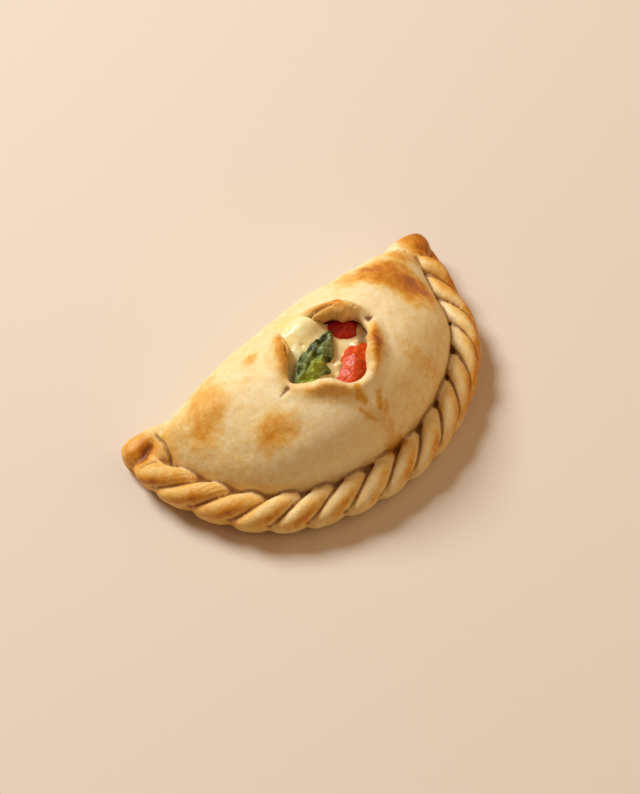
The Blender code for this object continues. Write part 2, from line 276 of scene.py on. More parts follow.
def domeTop(azimuth, distance, inset=0.0, drop=0.0):
    # Height of the dome. With inset and drop it is the roof of the room inside.
    reach = footDistance(azimuth) - inset
    fall = smoothStep((reach - 32.0) / 25.0)
    fall = fall * np.where(np.cos(azimuth) < 0.0, dough["leftFall"], dough["rightFall"])
    towardsFoot = smoothStep(distance / reach)
    rounding = dough["topRounding"] + (dough["footRounding"] - dough["topRounding"]) * towardsFoot
    reach = footDistance(azimuth, rounding) - inset
    turned = (np.degrees(azimuth) - dough["squareTowards"] + 180.0) % 360.0 - 180.0
    square = 2.0 + dough["squareMost"] * bell(turned, dough["squareReach"])
    share = np.clip(distance / reach, 0.0, 1.0) ** (square / (1.0 + 0.5 * fall))
    rise = dough["domeHeight"] - drop - dough["widestHeight"]
    return dough["widestHeight"] + rise * (1.0 - share) ** (0.5 + 0.5 * fall)


petals = {
    # azimuth in degrees, radius of the free edge, radius of the ridge, ridge height over the
    # dome, drop from the ridge to the edge
    "rim": (
        (6, 14.2, 16.4, 1.0, 1.6), (15, 14.6, 16.4, 2.6, 2.2), (23, 13.9, 16.2, 4.0, 2.8),
        (33, 11.6, 15.6, 4.8, 2.5), (42, 12.2, 15.6, 5.2, 2.5), (50, 12.2, 15.4, 5.0, 2.4),
        (58, 11.7, 15.2, 4.5, 2.3), (72, 12.9, 15.6, 3.3, 2.0), (81, 14.8, 16.6, 1.2, 1.2),
        (92, 16.4, 17.8, -0.9, 0.8), (104, 16.4, 17.8, -0.5, 0.8), (116, 15.4, 17.2, 1.6, 1.6),
        (127, 13.4, 16.6, 3.9, 2.8), (140, 12.1, 15.6, 4.3, 3.2), (152, 12.5, 15.3, 3.5, 3.0),
        (165, 14.3, 16.3, 2.1, 2.2), (180, 15.8, 17.3, 0.6, 1.2), (191, 13.8, 15.9, 0.9, 1.2),
        (203, 12.2, 14.8, 1.8, 1.7), (217, 10.4, 13.6, 3.3, 2.6), (231, 9.9, 13.3, 3.9, 3.0),
        (245, 10.7, 13.8, 3.3, 2.8), (259, 11.8, 14.6, 1.8, 2.0), (273, 12.3, 14.9, 1.3, 1.8),
        (287, 12.5, 15.2, 2.2, 2.2), (302, 11.3, 14.4, 3.0, 2.8), (318, 10.6, 13.9, 3.9, 3.0),
        (328, 11.5, 14.3, 4.2, 3.0), (337, 10.9, 14.2, 4.0, 2.8), (347, 12.6, 15.1, 2.8, 2.4),
        (356, 13.8, 16.0, 1.6, 1.9),
    ),
    "blend": 2.3,  # how far a petal's back runs out into the dome
    # azimuth in degrees, how dark the petal is baked, how far out from its ridge, how wide
    "baking": (
        (7, 0.0, 0.2, 2.0), (22, 0.12, -0.6, 2.6), (45, 0.32, -0.6, 2.8),
        (66, 0.28, -0.6, 2.6), (82, 0.05, 0.0, 2.0), (112, 0.05, 0.0, 2.0),
        (132, 0.28, -0.4, 2.2), (158, 0.26, -0.6, 2.0), (176, 0.05, -0.2, 2.0),
        (198, 0.2, 1.2, 1.7), (222, 0.34, 1.5, 1.9), (244, 0.3, 1.4, 1.8),
        (262, 0.12, 1.0, 1.6), (296, 0.12, 0.4, 1.8), (318, 0.6, 0.0, 2.1),
        (334, 0.75, 0.1, 2.3), (348, 0.35, 0.0, 2.0), (358, 0.1, 0.0, 2.0),
    ),
    # cracks and folds in the petals, as places from the middle of the cut, half width, depth
    "cracks": (
        (((1.4, 15.6), (3.6, 13.6), (6.2, 12.6), (9.6, 10.9)), 0.45, 0.9),
        (((-8.9, 13.2), (-9.6, 9.6), (-11.6, 6.2)), 0.45, 0.8),
        (((10.4, -4.6), (13.4, -5.8)), 0.5, 0.6),
        (((9.9, -8.6), (11.4, -9.9)), 0.45, 0.3),
        (((-9.4, -7.4), (-5.4, -10.6), (-1.6, -12.9)), 0.35, 0.35),
        (((9.2, 12.2), (12.6, 9.6), (14.4, 6.2)), 0.5, 0.4),
    ),
    "tornLumps": ((3.1, 0.4, 11.0), (0.9, 0.14, 13.0)),  # size, height, shift of the pattern
    # short slits at the ends of the cut: azimuth, start and end radius, half width, depth
    "slits": (
        (5.0, 15.4, 18.8, 0.75, 3.0),
        (184.0, 17.4, 21.6, 0.55, 3.0),
    ),
}


def aroundHub(azimuth, table="rim"):
    # The petals' numbers at an azimuth, joined smoothly all the way round.
    keys = np.array(petals[table], float)
    turn = np.zeros(keys.shape[1])
    turn[0] = 360.0
    turns = np.concatenate([keys - turn, keys, keys + turn])
    return throughKeys(turns, np.degrees(azimuth) % 360.0).T


def slitDepth(azimuth, distance):
    # How deep the slits at the ends of the cut go there.
    depth = 0.0
    for at, start, end, halfWidth, most in petals["slits"]:
        turn = azimuth - math.radians(at)
        aside, along = distance * np.sin(turn), distance * np.cos(turn)
        share = np.clip((along - start) / (end - start), 0.0, 1.0)
        closing = smoothStep(share * 8.0) * smoothStep((1.0 - share) * 6.0)
        depth = depth + most * bell(aside, halfWidth * (1.15 - share)) * closing
    return depth


def makeDome():
    # From the base up over the dome and the petals' backs, over their lips and into the pit.
    azimuth = np.radians(np.arange(0.0, 360.0, 0.75))
    foot = footDistance(azimuth)
    edge, ridge, lift, drop = aroundHub(azimuth)
    rings = []
    for turn in np.radians(np.linspace(88.0, 0.0, 14)):
        out = foot - dough["underCurve"] * (1.0 - math.cos(turn))
        height = dough["widestHeight"] * (1.0 - math.sin(turn))
        rings.append(fromHub(azimuth, out, height if rings else -1.0))
    for share in np.linspace(0.985, 0.0, 60) ** 1.3:
        out = ridge + (foot - ridge) * share
        top = domeTop(azimuth, out) + lift * bell(out - ridge, petals["blend"])
        rings.append(fromHub(azimuth, out, top - slitDepth(azimuth, out)))
    for turn in np.radians(np.linspace(10.0, 90.0, 9)):
        out = ridge - (ridge - edge) * math.sin(turn)
        rings.append(fromHub(azimuth, out, top - drop * (1.0 - math.cos(turn))))
    rings.append(fromHub(azimuth, edge + 0.5, top - drop - 2.0))
    rings.append(fromHub(azimuth, edge + 1.5, 26.0))
    return skinRings("dome", rings, hubPlace - [0, 0, 1], hubPlace + [0, 0, 26])


def wallInset(foot, gap=0.0):
    # From the dome's foot in to the filling.
    return dough["thickness"] + 0.5 + gap + dough["doubled"] * smoothStep((foot - 34.0) / 22.0)


def makeHollow():
    # The room for the filling, with a neck up through the cut.
    azimuth = np.radians(np.arange(0.0, 360.0, 4.0))
    foot, edge = footDistance(azimuth), aroundHub(azimuth)[0]
    inset = wallInset(foot)
    rings = [fromHub(azimuth, edge - 2.4, 35.5)]
    for share in (0.0, 0.2, 0.4, 0.6, 0.8, 0.92, 1.0):
        out = edge + 0.9 + (foot - inset - edge - 0.9) * share
        rings.append(fromHub(azimuth, out, domeTop(azimuth, out, inset, dough["thickness"]) + 0.2))
    for turn in np.radians((30.0, 60.0, 90.0)):
        out = foot - inset - 6.0 * (1.0 - math.cos(turn))
        height = dough["thickness"] + (11.0 - dough["thickness"]) * (1.0 - math.sin(turn))
        rings.append(fromHub(azimuth, out, height))
    return skinRings("hollow", rings, hubPlace + [0, 0, 36], hubPlace + [0, 0, dough["thickness"]])


def towardsRight(angle, start=-80.0, width=35.0):
    # 0 at the left of the rope and 1 at its right, where its outer side is one smooth band.
    return smoothStep((angle - start) / width)


def leftToRight(pair, angle, start=-80.0, width=35.0):
    # The first number at the left of the rope, with the second one added at its right.
    return pair[0] + pair[1] * towardsRight(angle, start, width)


def ropePoint(angle, offset, section):
    out = rope["radius"] + ropeSwell(angle) + offset * np.cos(section)
    x, y = out * np.cos(angle), rope["middleY"] + out * np.sin(angle)
    return np.stack([x, y, rope["axisHeight"] + offset * np.sin(section)], axis=-1)


def crimpPlace(angle, section):
    # How high a crimp swells there (0 to 1), which crimp that is, how far it is to the right
    # of its crest in crimp spacings, how far along it, how far from the groove beside it, and
    # how high it would swell if it had no ends.
    tops, sweeps = np.array(rope["crimps"]).T
    turn = (np.maximum(section, rope["straightFrom"]) - rope["crossing"]) / 100.0
    tail = rope["tail"] * smoothStep((48.0 - section) / 55.0) * towardsRight(angle, -95.0)
    at = angle - np.interp(angle, tops, sweeps) * turn + tail
    left = np.clip(np.searchsorted(tops, at) - 1, 0, len(tops) - 2)
    share = np.clip((at - tops[left]) / (tops[left + 1] - tops[left]), -0.5, 1.5)
    outerEnd = leftToRight(rope["outerEnd"], angle)
    along = (section - outerEnd) / (rope["innerEnd"] - outerEnd)
    blunt, drawnOut = leftToRight(rope["outerShape"], angle), leftToRight(rope["innerShape"], angle)
    ends = np.abs(2.0 * along - 1.0) ** np.where(along < 0.5, blunt, drawnOut)
    sloping = 1.0 - (np.abs(share) / rope["slopingShare"]) ** rope["plumpness"] - ends
    steep = 1.0 - (np.abs(1.0 - share) / rope["steepShare"]) ** rope["plumpness"] - ends
    onNext = steep > sloping
    height = np.maximum(steep, sloping)
    groove = np.abs(share - rope["slopingShare"] / (rope["slopingShare"] + rope["steepShare"]))
    return height, left + onNext, share - onNext, along, groove, height + ends


def ropeThickness(angle, section):
    # From the rope's axis to its skin.
    height, which, _, _, groove, swell = crimpPlace(angle, section)
    core = leftToRight(rope["core"], angle, -95.0, 40.0)
    outside = smoothStep((leftToRight(rope["outerFrom"], angle) - section) / 55.0)
    outside = outside * smoothStep((section + 170.0) / 60.0)
    outer = leftToRight(rope["outerCore"], angle)
    outer = outer + leftToRight(rope["outerSwell"], angle) * np.sqrt(np.clip(swell, 0.0, 1.0))
    outer = outer - rope["underCut"] * smoothStep((-38.0 - section) / 35.0)
    core = core + (outer - core) * outside
    fatness = 1.0 + rope["unevenness"] * np.sin(which * 2.4) * smoothStep(groove / 0.2)
    thickness = core + (rope["crest"] - core) * np.sqrt(np.clip(height, 0.0, 1.0)) * fatness
    return thickness * (1.0 - rope["leftTaper"] * smoothStep((-167.0 - angle) / 13.0))


def makeRope():
    sections = np.linspace(-180.0, 180.0, 128, endpoint=False)
    rings = []
    for angle in np.linspace(-180.0, -3.0, 840):
        around = np.radians(angle + 0.0 * sections)
        rings.append(ropePoint(around, ropeThickness(angle, sections), np.radians(sections)))
    return skinRings("rope", rings, rings[0].mean(0), rings[-1].mean(0))


def ropePlace(points):
    # Degrees along the rope and round its section, distance from its axis.
    x, y = points[:, 0], points[:, 1] - rope["middleY"]
    angle = np.degrees(np.arctan2(y, x))
    angle = np.where(angle > 90.0, angle - 360.0, angle)
    out = np.hypot(x, y) - rope["radius"] - ropeSwell(np.radians(angle))
    up = points[:, 2] - rope["axisHeight"]
    return angle, np.degrees(np.arctan2(up, out)), np.hypot(out, up)


def ropeMask(angle, section, fromAxis, reach):
    # 1 on the rope and 0 off it. Below the dome's foot line all of the skin is the rope's, and
    # so is the bottom of each groove, which the smoothing has lifted off the rope's own skin.
    near = smoothStep((ropeThickness(angle, section) + reach - fromAxis) / (0.8 * reach))
    between = smoothStep((106.0 - section) / 8.0) * smoothStep((10.5 - fromAxis) / 1.0)
    between = between * smoothStep((angle + 166.0) / 5.0) * smoothStep((-12.0 - angle) / 5.0)
    return np.maximum(near, between)


corners = {
    # along X, along Y from the line between the corners, height, half width, half height
    "left": (
        (-45.5, -7.6, 8.2, 6.5, 7.0), (-50.0, -6.2, 7.4, 7.2, 6.6), (-55.0, -5.7, 6.6, 7.9, 6.0),
        (-59.0, -5.4, 6.0, 8.2, 5.6), (-61.4, -5.2, 5.7, 7.6, 5.1), (-62.9, -5.2, 5.4, 5.6, 3.8),
    ),
    "right": (
        (44.5, -5.0, 8.8, 7.2, 7.0), (49.0, -3.0, 8.6, 7.4, 7.0), (55.0, -1.8, 8.0, 7.0, 6.9),
        (59.5, -1.0, 7.7, 5.7, 6.3), (62.2, -0.2, 7.6, 3.9, 4.7), (63.6, 0.5, 7.5, 2.0, 2.5),
    ),
    # hollows pressed in by a finger, as places on the ear: line, half width, depth, how dark
    "hollows": (
        (((-62.2, 24.6), (-59.4, 23.6), (-56.0, 24.2)), 2.0, 1.05, 0.2),
        (((-60.8, 22.8), (-59.2, 22.0)), 2.1, 0.6, 0.1),
        (((-58.2, 24.0), (-56.6, 24.4)), 1.5, 0.7, 0.3),
        (((57.4, 26.6), (58.2, 25.6)), 1.5, 0.6, 0.2),
    ),
    # thin seams where dough laps over dough: line, half width, depth
    "seams": (
        (((-62.4, 21.0), (-60.2, 19.8), (-57.4, 18.6)), 0.5, 0.5),
        (((-52.2, 25.6), (-52.7, 20.7), (-53.6, 16.6), (-54.9, 13.9)), 0.42, 0.8),
        (((56.2, 23.8), (58.1, 21.7), (59.2, 19.7)), 0.5, 0.7),
        (((58.4, 19.2), (61.0, 18.2)), 0.5, 0.6),
        (((51.7, 27.2), (51.4, 24.6), (51.2, 20.2)), 0.5, 0.7),
    ),
}


def makeCorner(sections):
    # An ear: rounded rectangles that stand one after another across X.
    count = len(sections)
    keys = [(i, *section) for i, section in enumerate(sections)]
    turn = np.linspace(0.0, 2.0 * math.pi, 32, endpoint=False)[:, None]
    c, s = np.cos(turn), np.sin(turn)
    c, s = np.sign(c) * np.abs(c) ** 0.8, np.sign(s) * np.abs(s) ** 0.8
    rings = []
    for x, y, z, halfWidth, halfHeight in throughKeys(keys, np.linspace(0, count - 1, 5 * count)):
        middle = np.array([x, rope["middleY"] + y, z])
        rings.append(middle + np.array([0, halfWidth, 0]) * c + np.array([0, 0, halfHeight]) * s)
    tip = rings[-1].mean(0) + [math.copysign(0.9, sections[-1][0]), 0, 0]
    return skinRings("corner", rings, rings[0].mean(0), tip)


def neighbourMean(obj, points, rounds):
    # Each point moved to the middle of its neighbours, again and again.
    ends = np.empty(len(obj.data.edges) * 2, np.int32)
    obj.data.edges.foreach_get("vertices", ends)
    a, b = ends[0::2], ends[1::2]
    count = np.bincount(ends, minlength=len(points))[:, None]
    for _ in range(rounds):
        sums = [
            np.bincount(a, column[b], len(points)) + np.bincount(b, column[a], len(points))
            for column in points.T
        ]
        points = np.stack(sums, axis=-1) / np.maximum(count, 1)
    return points


def nearLine(points, line, reach):
    # Seen from above: 1 on a line drawn through a few places, fading out over its reach.
    line, flat = np.array(line, float), points[:, :2]
    nearest = np.full(len(points), np.inf)
    for start, end in zip(line, line[1:]):
        span = end - start
        share = np.clip((flat - start) @ span / (span @ span), 0.0, 1.0)
        far = np.linalg.norm(flat - start - share[:, None] * span, axis=1)
        nearest = np.minimum(nearest, far)
    return bell(nearest, reach)


def makeCrust():
    parts = [makeDome(), makeRope(), makeCorner(corners["left"]), makeCorner(corners["right"])]
    crust = joinMeshes("crustDough", parts)
    remesh = crust.modifiers.new("fuse", "REMESH")
    remesh.mode = "VOXEL"
    remesh.voxel_size = dough["voxel"]
    applyModifiers(crust)
    points = neighbourMean(crust, readPoints(crust), 3)
    angle, section, fromAxis = ropePlace(points)
    onRope = ropeMask(angle, section, fromAxis, 1.2)[:, None]
    points += (neighbourMean(crust, points, 2) - points) * onRope
    writePoints(crust, points)
    print("crust fused:", len(points), "points")

    # Grooves, stretched skin, lumps, pressed hollows, seams and torn petals, all as relief.
    normals = readPoints(crust, "normal")
    x, y, z = points.T
    angle, section, fromAxis = ropePlace(points)
    _, which, share, along, groove, _ = crimpPlace(angle, section)
    onRope = ropeMask(angle, section, fromAxis, 0.9)
    push = -rope["grooveDepth"] * bell(groove, 0.06) * bell(along - 0.6, 0.35) * onRope
    stretched = np.sin(share * 36.0 + 1.6 * grain(points, 3.0, 5.0)) * bell(along - 0.72, 0.16)
    stretched = np.where(which < 2, *rope["stretchLines"]) * stretched
    push += stretched * smoothStep(groove / 0.15) * onRope
    fromMiddle = np.hypot(x, y - rope["middleY"])
    push += lumps(points, dough["domeLumps"]) * smoothStep((52.0 - fromMiddle) / 3.0)
    push += lumps(points, dough["skinLumps"])
    for line, halfWidth, depth, *_ in corners["hollows"] + corners["seams"]:
        push -= depth * nearLine(points, line, halfWidth) * (z > 4.0)
    azimuth, out = aroundCut(points)
    edge, ridge, lift, _ = aroundHub(azimuth)
    onPetal = bell(out - (edge + ridge) / 2.0, 2.6) * smoothStep((z - 30.0) / 3.0)
    push += onPetal * smoothStep(lift / 3.0) * lumps(points, petals["tornLumps"])
    ragged = 1.0 + 0.5 * grain(points, 1.0, 15.0)
    for line, halfWidth, depth in petals["cracks"]:
        push -= depth * nearLine(points - hubPlace, line, halfWidth * ragged) * (z > 31.0)
    points = points + normals * push[:, None]
    writePoints(crust, points)

    base = meshObject(
        "base",
        [(x, y, z) for x in (-90, 90) for y in (-90, 90) for z in (-20, 0)],
        [(0, 1, 3, 2), (4, 6, 7, 5), (0, 4, 5, 1), (2, 3, 7, 6), (0, 2, 6, 4), (1, 5, 7, 3)],
    )
    subtract(crust, base)
    subtract(crust, makeHollow())
    paintCrust(crust)
    print("crust hollowed and painted")
    return crust


# How brown the oven made each part, from 0 (pale) to 1 (nearly black), with painted shade and
# painted light among the entries.
browningAndShading = {
    "dome": 0.14,
    "footShade": 0.05,  # painted shade: how much darker it is near its foot, at the front
    "frontLight": -0.1,  # painted light: how much paler it is across the front of the dome, which faces away from the lamp
    "mottling": ((9.0, 0.05, 25.0), (3.0, 0.03, 27.0)),  # size, strength, shift of the pattern
    "ragged": ((6.0, 0.8, 21.0), (2.2, 0.45, 23.0)),  # the same for the edges of all patches
    "rope": 0.16,
    "ropeFrontLight": -0.06,  # painted light: negative, paler where the dome shades the front of the rope; below, how much browner each part is, and so on
    "ropeLeft": 0.13,
    "ropeRight": 0.16,
    "ropeOutside": (0.06, 0.3),  # at its left, and how much more at its right
    "ropeInside": (-0.06, -0.06),
    # browning on each crimp's flank right of its crest, with painted shade on that side
    "ropeBrownAndShade": 0.3,
    "steepSideLight": -0.07,  # painted light: paler on the crimps' steep sides, which face the lamp
    # painted shade: browner in the grooves between crimps
    "grooveShade": 0.12,
    "leftCorner": 0.36,
    "rightCorner": 0.42,
    "rightTip": 0.2,
    "crests": 0.5,  # for each millimetre that a crest stands out
    "grooveShadeFrom": (0.05, 0.32),  # share of a crimp's length where the painted shade line in its groove starts
    # spots on the dome: middle, half length, half width, turn in degrees, darkness
    "spots": (
        ((-38.6, 17.2), 12.0, 8.2, 52.0, 0.3), ((-42.4, 12.6), 6.0, 4.6, 40.0, 0.06),
        ((-40.0, 15.6), 4.2, 3.2, 40.0, -0.12), ((-28.8, -4.6), 8.4, 6.2, -38.0, 0.34),
        ((36.4, 14.2), 15.0, 9.2, -68.0, 0.52), ((41.0, 9.6), 7.0, 5.4, -60.0, 0.26),
        ((22.2, -11.6), 8.0, 4.6, -60.0, 0.14), ((-19.2, 18.9), 3.2, 2.0, 20.0, 0.22),
        ((-25.2, 13.8), 2.4, 1.8, 0.0, 0.14), ((-50.5, 20.5), 6.0, 7.0, 0.0, 0.14),
        ((26.0, 22.5), 8.5, 5.5, -25.0, 0.27), ((49.0, 25.0), 8.0, 6.0, 0.0, 0.28),
        ((43.4, 20.2), 6.5, 5.0, 0.0, 0.17),
    ),
}

# Fat that ran out of the front right end of the cut: places, half width, strength.
greaseRuns = (
    (((-2.2, -11.4), (-3.3, -13.0), (-2.5, -15.2)), 0.9, 1.1),
    (((-5.1, -16.4), (-4.3, -18.1), (-2.4, -19.7)), 0.6, 1.0),
    (((-1.6, -20.2), (-0.6, -20.8), (0.4, -21.2)), 0.4, 0.6),
    (((2.6, -15.8), (1.5, -17.2), (0.8, -18.5)), 0.75, 1.1),
    (((3.3, -18.4), (2.7, -19.3), (1.6, -19.9)), 0.5, 0.7),
    (((1.6, -22.4), (1.0, -23.6), (0.4, -24.6)), 1.0, 0.6),
    (((-1.0, -25.6), (1.2, -25.6), (4.6, -25.6)), 1.1, 0.9),
    (((-3.9, -13.5), (-4.0, -16.3), (-2.4, -18.6), (0.2, -21.0)), 1.9, 0.36),
)


def paintCrust(crust):
    points, normals = readPoints(crust), readPoints(crust, "normal")
    x, y, z = points.T
    azimuth, out = aroundCut(points)
    ridge = aroundHub(azimuth)[1]
    wobble = lumps(points, browningAndShading["ragged"])
    bakeAndShading = browningAndShading["dome"] + lumps(points, browningAndShading["mottling"])
    # painted light: paler across the front of the dome
    bakeAndShading += browningAndShading["frontLight"] * bell(0.5 * x - 0.87 * y - 5.0, 17.0)
    fromMiddle = np.hypot(x, y - rope["middleY"])
    # painted shade: darker towards the dome's foot at the front
    bakeAndShading += browningAndShading["footShade"] * smoothStep((fromMiddle - 42.0) / 11.0) * (y < 12.0)
    for *spot, darkness in browningAndShading["spots"]:
        far = inOval(points, *spot)
        bakeAndShading += darkness * smoothStep((1.25 - far - 0.3 * wobble) / 0.95) * (z > 10.0)

    weight, outBy, width = aroundHub(azimuth, "baking")
    onPetal = bell(out - ridge - outBy, width) * smoothStep((z - 30.0) / 3.0)
    bakeAndShading += np.clip(weight, 0.0, 1.0) * onPetal * (1.0 + 0.3 * wobble)

    angle, section, fromAxis = ropePlace(points)
    _, _, share, along, groove, _ = crimpPlace(angle, section)
    onRope = ropeMask(angle, section, fromAxis, 0.7)
    # browning right of each crest, partly painted shade on the flank turned from the lamp
    brownAndShade = bell(share - 0.26, 0.2) * bell(along - 0.36, 0.22) * (1.0 + 0.7 * wobble)
    # painted light: paler at the front of the rope, where the dome shades it
    ropeBakeAndShading = browningAndShading["rope"] + browningAndShading["ropeFrontLight"] * bell(angle + 85.0, 30.0) + 0.05 * wobble
    ropeBakeAndShading += leftToRight(browningAndShading["ropeOutside"], angle) * smoothStep((0.42 - along) / 0.3)
    ropeBakeAndShading += leftToRight(browningAndShading["ropeInside"], angle) * smoothStep((along - 0.6) / 0.16)
    ropeBakeAndShading += browningAndShading["ropeLeft"] * smoothStep((-118.0 - angle) / 30.0)
    ropeBakeAndShading += browningAndShading["ropeRight"] * smoothStep((angle + 30.0) / 20.0)
    # painted light: paler on each crimp's steep side, which faces the lamp
    ropeBakeAndShading += browningAndShading["ropeBrownAndShade"] * brownAndShade + browningAndShading["steepSideLight"] * bell(share + 0.12, 0.13)
    # painted shade: browner in the grooves between crimps
    ropeBakeAndShading += browningAndShading["grooveShade"] * bell(groove, 0.1)
    bakeAndShading += (ropeBakeAndShading - bakeAndShading) * onRope

    onCorner = smoothStep((np.abs(x) - 51.0) / 4.0)
    onCorner = onCorner * smoothStep((y - 14.0) / 5.0) * (1.0 - 0.8 * onRope)
    rightBake = browningAndShading["rightCorner"] + browningAndShading["rightTip"] * smoothStep((x - 55.0) / 6.0)
    cornerBake = np.where(x < 0.0, browningAndShading["leftCorner"], rightBake)
    bakeAndShading += (cornerBake + 0.1 * wobble - bakeAndShading) * onCorner
    for line, halfWidth, _, dark in corners["hollows"]:
        bakeAndShading += dark * nearLine(points, line, halfWidth * 1.1)

    blurred = neighbourMean(crust, points, 10)
    hollow = ((blurred - points) * normals).sum(1)  # above zero in creases, below it on crests
    bakeAndShading += np.clip(-hollow, 0.0, 0.25) * browningAndShading["crests"]
    # painted shade: dark brown laid into creases, deep pockets, the grooves between crimps and the
    # slits, and along the seams where dough laps
    creaseShade = smoothStep((hollow - 0.03) / 0.17)
    for line, halfWidth, _ in corners["seams"]:
        creaseShade = np.maximum(creaseShade, 0.8 * nearLine(points, line, halfWidth * 0.8))
    # painted shade: a dark line down the bottom of each groove between crimps
    grooveShadeLine = smoothStep((along - leftToRight(browningAndShading["grooveShadeFrom"], angle)) / 0.35)
    grooveShadeLine = grooveShadeLine * bell(groove, 0.035) * smoothStep((1.04 - along) / 0.1) * onRope
    creaseShade = np.maximum(creaseShade, grooveShadeLine * (1.0 + 0.4 * wobble))
    creaseShade = np.maximum(0.8 * creaseShade, 0.95 * smoothStep((hollow - 0.15) / 0.25))
    creaseShade = np.maximum(creaseShade, smoothStep(slitDepth(azimuth, out) / 0.9) * (z > 30.0))

    grease, broken = np.zeros(len(points)), grain(points, 1.2, 31.0)
    for line, halfWidth, strength in greaseRuns:
        soaked = smoothStep(1.25 * nearLine(points, line, halfWidth * (1.3 + 0.6 * broken)))
        grease = np.maximum(grease, strength * (0.9 + 0.3 * broken) * soaked * (z > 7.0))
    # painted shade on the walls inside the cut, below the petals' ridge
    inside = smoothStep((ridge - out) / 1.5) * smoothStep((36.0 - z) / 4.0)
    paint(crust, "bakeAndShading", bakeAndShading)
    paint(crust, "creaseShade", creaseShade)
    paint(crust, "grease", grease)
    paint(crust, "pitShade", inside * (out < ridge) * (z > 26.0))


# The filling. Places are measured from the middle of the cut.
melt = {
    "level": 32.3,
    # along X, along Y, reach, height of each swell or sag in the melted surface
    "swells": (
        (-3.5, 10.5, 8.5, 1.7), (-3.4, 15.2, 4.5, 1.2), (9.0, 6.5, 6.5, -1.9),
        (6.5, -7.0, 7.5, -2.6), (-13.5, 0.5, 4.0, -2.4), (-8.0, -6.5, 4.0, -1.2),
        (10.9, -0.5, 1.6, 2.2), (8.6, -2.2, 1.2, 1.3), (4.6, -1.9, 1.1, 0.5),
        (0.6, -3.9, 1.5, 2.1), (-1.4, -6.0, 1.3, 1.3), (13.4, 2.0, 1.5, 0.9),
        (-1.5, -7.5, 3.6, -2.2), (12.2, -1.0, 2.6, -1.8), (1.8, 12.8, 4.2, 2.2),
        (-4.5, 8.2, 0.55, -0.5), (-7.6, 9.4, 0.45, -0.35), (2.4, 8.9, 0.4, -0.3),
    ),
    "lumps": ((3.4, 0.34, 41.0), (1.3, 0.08, 43.0)),  # size, height, shift of the pattern
    "spillMiddle": 94.0,  # azimuth where it ran over the rim, in degrees
    "spillHalfWidth": 19.0,
    "spillReach": 5.6,
    "spillThickness": 1.1,
    "fitGap": 0.5,  # between the filling and the dough
}

tomatoes = {
    # middle, half sizes, turn in degrees, and the ridge on top: two ends, half width, height
    "tomatoFront": (
        (4.9, -5.7, 27.4), (10.6, 6.3, 5.2), 26.0, ((7.8, -3.0), (0.6, -10.6), 1.6, 0.7),
    ),
    "tomatoBack": (
        (10.7, 6.6, 26.9), (8.4, 5.6, 5.4), -45.0, ((6.0, 9.0), (13.0, 5.0), 1.2, 0.4),
    ),
}


def meltTop(x, y):
    height = melt["level"] + 0.0 * x
    for atX, atY, reach, rise in melt["swells"]:
        height = height + rise * bell(np.hypot(x - atX, y - atY), reach)
    return height


def makeMelt():
    # The surface spreads from its middle to the petals, and at one end of the cut over the rim.
    azimuth = np.radians(np.arange(0.0, 360.0, 2.0))
    foot, edge = footDistance(azimuth), aroundHub(azimuth)[0]
    turned = np.degrees(azimuth)
    spill = smoothStep(1.25 - np.abs(turned - melt["spillMiddle"]) / melt["spillHalfWidth"])
    wave = 1.0 + 0.12 * np.sin(turned * 0.35) + 0.08 * np.sin(turned * 0.8 + 1.0)
    reach = edge + 0.9 + melt["spillReach"] * spill * wave
    rings = []
    for share in np.linspace(0.02, 1.0, 64):
        out = reach * share
        inside = meltTop(out * np.cos(azimuth), out * np.sin(azimuth))
        beyond = np.clip((out - edge) / (reach - edge), 0.0, 1.0)
        over = domeTop(azimuth, out) - 0.4 + melt["spillThickness"] * (1.0 - beyond**2.6) ** 0.6
        mixed = smoothStep((out - edge + 2.2) / 3.2) * smoothStep(spill * 2.0)
        rings.append(fromHub(azimuth, out, inside + (over - inside) * mixed))
    inset = wallInset(foot, melt["fitGap"])
    rings.append(rings[-1] - [0, 0, 1.2])
    for share in (0.0, 0.35, 0.7, 0.92, 1.0):
        out = edge + 0.1 + (foot - inset - edge - 0.1) * share
        top = domeTop(azimuth, out, inset, dough["thickness"]) - melt["fitGap"]
        rings.append(fromHub(azimuth, out, np.minimum(top, rings[-1][:, 2] - 0.2)))
    floor = dough["thickness"] + melt["fitGap"]
    for turn in np.radians((45.0, 90.0)):
        out = foot - inset - 6.0 * (1.0 - math.cos(turn))
        rings.append(fromHub(azimuth, out, floor + (10.5 - floor) * (1.0 - math.sin(turn))))
    top = meltTop(np.zeros(1), np.zeros(1))[0]
    piece = skinRings("meltedCheese", rings, hubPlace + [0, 0, top], hubPlace + [0, 0, floor])
    points, normals = readPoints(piece), readPoints(piece, "normal")
    push = lumps(points, melt["lumps"]) * (points[:, 2] > 29.0)
    points += normals * push[:, None]
    writePoints(piece, points)
    nearRed = np.full(len(points), 9.0)
    for middle, half, turn, _ in tomatoes.values():
        nearRed = np.minimum(nearRed, inOval(points - hubPlace, middle, half[0], half[1], turn))
    paint(piece, "juice", smoothStep((1.06 - nearRed) / 0.25))
    paint(piece, "edgeTan", smoothStep((aroundCut(points)[1] - 14.0) / 6.0))
    return piece


